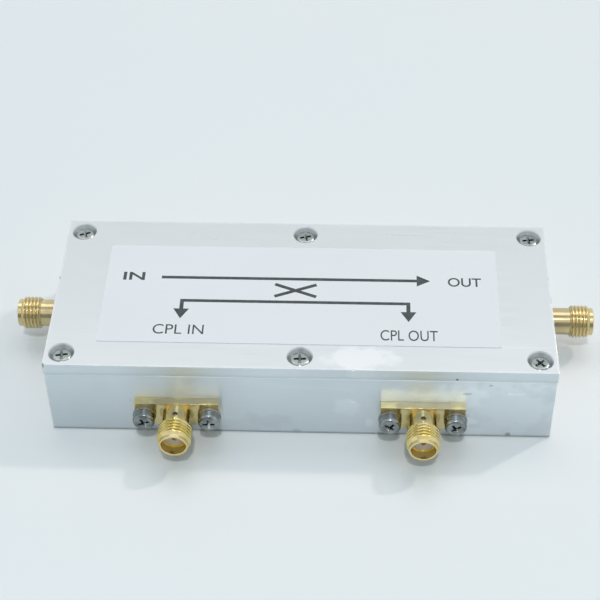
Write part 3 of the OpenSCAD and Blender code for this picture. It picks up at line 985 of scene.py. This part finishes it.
def flat_screw(reach):
    """Countersunk screw with the top of its head at z = 0."""
    shank_top = (screw_radius - lid_head_radius) / countersink_slope
    rim = [(lid_head_radius - inset * mm, -depth * mm) for inset, depth in head_rim]
    head = [(screw_radius, shank_top)] + rim + [(head_flat, 0)]
    screw = turn("lid_screw", shank_outline(reach, shank_top) + head, segments=48, capped=True)
    return finish_screw(screw, reach, shank_top, 0)


lid_steel_clean = (0.37, 0.405, 0.40, 1)
lid_steel_oxidised = (0.23, 0.26, 0.255, 1)
lid_steel = screw_steel("lid_screw_steel", lid_steel_clean, lid_steel_oxidised, smoothest=0.2, roughest=0.34)

lid_screw = flat_screw(lid_high.z - lid_low.z - head_sink + lid_screw_reach)
lid_screw_turns = (10, 20, 2, 15, 40, 8)
fit_fasteners(lid_screw, "lid_screws", lid_steel, [
    Matrix.Translation(place + upwards * (lid_high.z - head_sink)) @ about_z(turned)
    for place, turned in zip(lid_screw_places, lid_screw_turns)
])


# Label
# A thin white film stuck to the lid. It is printed with the four port marks and the plain
# diagram of a coupler: a main line, a coupled line and the cross between them.
label_low, label_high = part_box("label")
label_corner = 0.4 * mm
label_edge = 0.03 * mm
film_clean = (0.925, 0.87, 0.845, 1)
film_handled = (0.885, 0.845, 0.82, 1)
film_speck = (0.5, 0.52, 0.53, 1)
film_side_light = (0.95, 0.96, 0.97, 1)

label = add_block("label_film", label_low, label_high)
bevel(label, lambda middle, direction: abs(direction.z) > 0.9, label_corner, segments=6)
bevel(label, lambda middle, direction: abs(middle.z - label_high.z) < same_plane, label_edge, segments=2)
smooth(label)

film, tree, shader, place = new_material("label_film", Roughness=0.4)
marks = place_group(tree, smudges, place, Scale=45.0)
aged = tint(tree, marks["Smudge"], 0.5, film_clean, film_handled)
specked = tint(tree, marks["Speck"], 0.2, aged, film_speck)
block = {"Middle": (label_low + label_high) / 2, "Half": (label_high - label_low) / 2}
side = place_group(tree, upright_sides, place, **block)["Side"]
# Painted light: the film's cut sides are lighter, so that their shaded edge shows only faintly
feed(shader, "Base Color", blend(tree, side, specked, film_side_light))
bump(tree, shader, marks["Smudge"], strength=0.04, distance=0.05 * mm)
fit(label, "label", film)


# Label print
# Black ink on the film, thin enough to show a little of the white through it. The marks name the
# ports, and the diagram shows which way the two lines carry their signals.
ink_thickness = 0.01 * mm
stroke = 0.75 * mm
ink_black = (0.035, 0.04, 0.042, 1)
ink_thin = (0.085, 0.095, 0.10, 1)
ink, tree, shader, place = new_material("label_ink", Roughness=0.45)
marks = place_group(tree, smudges, place, Scale=900.0)
worn = tint(tree, marks["Smudge"], 0.6, ink_black, ink_thin)
feed(shader, "Base Color", worn)


def print_piece(piece):
    """Finishes a printed mark as a thin layer on the film."""
    paint(piece, ink)
    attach(piece, "root")


def print_words(name, words, boldness, left, right, front, back):
    """Prints words into a box on the label, given in millimetres, at the ink's thickness."""
    deselect()
    bpy.ops.object.text_add()
    text = bpy.context.object
    text.data.body = words
    text.data.extrude = 0.5
    text.data.offset = boldness
    bpy.ops.object.convert(target="MESH")
    text = bpy.context.object
    text.name = name
    bpy.ops.object.mode_set(mode="EDIT")
    bpy.ops.mesh.select_all(action="SELECT")
    bpy.ops.mesh.remove_doubles(threshold=1e-5)
    bpy.ops.object.mode_set(mode="OBJECT")
    lowest = Vector(text.bound_box[0])
    text.data.transform(Matrix.Translation(-lowest))
    scale = Vector((
        (right - left) * mm / text.dimensions.x, (back - front) * mm / text.dimensions.y,
        ink_thickness / text.dimensions.z,
    ))
    text.data.transform(Matrix.Diagonal((*scale, 1)))
    text.data.transform(Matrix.Translation((left * mm, front * mm, label_high.z)))
    print_piece(text)


# Port marks: name, words and boldness, then the left, right, front and back of their box
print_words("mark_in", "IN", 0.02, -35.0, -30.8, 2.8, 5.0)
print_words("mark_out", "OUT", 0.01, 27.9, 34.3, 2.3, 4.7)
print_words("mark_coupled_in", "CPL IN", 0.0, -27.9, -18.3, -11.5, -9.0)
print_words("mark_coupled_out", "CPL OUT", 0.0, 14.9, 25.6, -12.3, -9.6)


def ink_line(start, end, width):
    """A straight stroke of ink between two points on the label, in millimetres."""
    start = Vector((*start, 0)) * mm
    end = Vector((*end, 0)) * mm
    run = end - start
    top = label_high.z + ink_thickness
    line = add_block("stroke", (0, -width / 2, label_high.z), (run.length, width / 2, top))
    line.data.transform(Matrix.Translation(start) @ Matrix.Rotation(math.atan2(run.y, run.x), 4, "Z"))
    return line


def ink_arrow(tip, heading):
    """A solid arrow head, its tip at a point on the label, in millimetres."""
    length = arrow_length * mm
    deselect()
    bpy.ops.mesh.primitive_cylinder_add(vertices=3, radius=length * 2 / 3, depth=ink_thickness)
    head = bpy.context.object
    bpy.ops.object.transform_apply()
    head.data.transform(about_z(-90))
    head.data.transform(Matrix.Translation((-length * 2 / 3, 0, 0)))
    spot = Vector((tip[0] * mm, tip[1] * mm, label_high.z + ink_thickness / 2))
    head.data.transform(Matrix.Translation(spot) @ about_z(heading))
    return head


main_y = 3.7
main_start = -27.5
main_tip = 24.5
run_y = -2.6
leg_places = (-23, 20.2)
leg_top = run_y + stroke / mm / 2
leg_tip = -7.4
cross_left = -5.4
cross_right = 2.6
cross_front = -1.1
cross_back = 2.2
arrow_length = 2.6
arrow_lap = 2

diagram = ink_line((main_start, main_y), (main_tip - arrow_lap, main_y), stroke)
diagram.name = "coupler_diagram"
strokes = [((leg_places[0], run_y), (leg_places[1], run_y))]
strokes += [((x, leg_tip + arrow_lap), (x, leg_top)) for x in leg_places]
strokes += [
    ((cross_left, start), (cross_right, end))
    for start, end in ((cross_back, cross_front), (cross_front, cross_back))
]
for start, end in strokes:
    combine(diagram, ink_line(start, end, stroke), "UNION")
for tip, heading in [((main_tip, main_y), 0)] + [((x, leg_tip), -90) for x in leg_places]:
    combine(diagram, ink_arrow(tip, heading), "UNION")
print_piece(diagram)


# Floor
# A smooth pale table top, with a soft gloss that shows a little of what stands on it. It is wide
# enough that no view reaches its edge near the part.
table_size = 24
table_clean = (0.935, 0.895, 0.86, 1)
table_handled = (0.915, 0.88, 0.845, 1)
deselect()
bpy.ops.mesh.primitive_plane_add(size=table_size)
floor = bpy.context.object
floor.name = "table_top"
table, tree, shader, place = new_material("table_top", Roughness=0.3)
marks = place_group(tree, smudges, place, Scale=9.0)
pale = tint(tree, marks["Smudge"], 0.5, table_clean, table_handled)
feed(shader, "Base Color", pale)
floor.data.materials.append(table)


# Light
# Soft panels overhead, a lamp behind the right end and one above the camera, in a white room
# that darkens towards its ceiling. The camera doesn't see the grey screen in front, but metal does.
lamp_distance = 2.1


def add_lamp(name, azimuth, elevation, width, depth, watts, colour):
    """A soft lamp that faces the part. Its azimuth counts from straight behind towards the right."""
    azimuth = math.radians(azimuth)
    elevation = math.radians(elevation)
    level = lamp_distance * math.cos(elevation)
    height = lamp_distance * math.sin(elevation)
    spot = Vector((level * math.sin(azimuth), level * math.cos(azimuth), height))
    bpy.ops.object.light_add(type="AREA", location=spot, rotation=spot.to_track_quat("Z", "Y").to_euler())
    lamp = bpy.context.object
    lamp.name = name
    lamp.data.shape = "RECTANGLE"
    lamp.data.size = width
    lamp.data.size_y = depth
    lamp.data.energy = watts
    lamp.data.color = colour


cool = (0.88, 0.95, 1)
neutral = (1, 0.973, 0.95)
warm = (1, 0.94, 0.87)
add_lamp("overhead_panel", 0, 68, 2.4, 0.97, 10.1, neutral)
add_lamp("right_lamp", 57, 46, 0.12, 0.12, 7.2, warm)
add_lamp("front_panel", 180, 73, 1.8, 0.85, 1.2, cool)
add_lamp("front_lamp", 178, 64, 0.12, 0.12, 10.4, cool)

screen_middle = (-0.15, -1.2, 0.43)
screen_width = 1.25
screen_height = 0.86
cloth_dark = (0.40, 0.40, 0.40, 1)
cloth_pale = (0.48, 0.48, 0.48, 1)
deselect()
bpy.ops.mesh.primitive_plane_add(size=1, location=screen_middle, rotation=(math.radians(90), 0, 0))
screen = bpy.context.object
screen.name = "dark_screen"
screen.scale = (screen_width, screen_height, 1)
screen.visible_camera = False
screen.visible_diffuse = False
cloth, tree, shader, place = new_material("screen_cloth", Roughness=0.9)
marks = place_group(tree, smudges, place, Scale=6.0)
feed(shader, "Base Color", blend(tree, marks["Smudge"], cloth_dark, cloth_pale))
screen.data.materials.append(cloth)

room_walls = (0.97, 0.98, 0.99, 1)
room_ceiling = (0.5, 0.51, 0.52, 1)
room_fill = (0.275, 0.386, 0.462, 1)
world = bpy.data.worlds.new("room")
bpy.context.scene.world = world
world.use_nodes = True
tree = world.node_tree
sky = next(n for n in tree.nodes if n.type == "BACKGROUND")
direction = add_node(tree, "ShaderNodeTexCoord").outputs["Generated"]
height = add_node(tree, "ShaderNodeSeparateXYZ", {0: direction}).outputs["Z"]
room = blend(tree, remap(tree, height, 0.72, 1.0, 0.0, 1.0), room_walls, room_ceiling)
light_path = add_node(tree, "ShaderNodeLightPath").outputs
mirrored = math_node(tree, "MAXIMUM", light_path["Is Glossy Ray"], light_path["Is Transmission Ray"])
seen = math_node(tree, "MAXIMUM", light_path["Is Camera Ray"], mirrored)
feed(sky, "Color", blend(tree, seen, room_fill, room))


# Camera
# A long lens that looks down on the front of the part from a little right of its middle. It is
# turned by about a degree on its own axis, so the part doesn't stand quite level in the frame.
azimuth = math.radians(2.727)
elevation = math.radians(44.973)
roll = math.radians(-0.997)
target = Vector((-0.87, 6.62, 9.5)) * mm
distance = 311.18 * mm
focal_length = 93.845

back = Vector((
    math.sin(azimuth) * math.cos(elevation), -math.cos(azimuth) * math.cos(elevation), math.sin(elevation),
))
level_right = Vector((math.cos(azimuth), math.sin(azimuth), 0))
level_up = back.cross(level_right)
right = math.cos(roll) * level_right + math.sin(roll) * level_up
up = back.cross(right)
bpy.ops.object.camera_add()
camera = bpy.context.object
camera.data.lens = focal_length
camera.data.sensor_width = 36
camera.data.clip_start = 0.01
camera.data.clip_end = 50
axes = Matrix((right, up, back)).transposed().to_4x4()
camera.matrix_world = Matrix.Translation(target + back * distance) @ axes
bpy.context.scene.camera = camera
bpy.context.scene.view_settings.view_transform = "Standard"
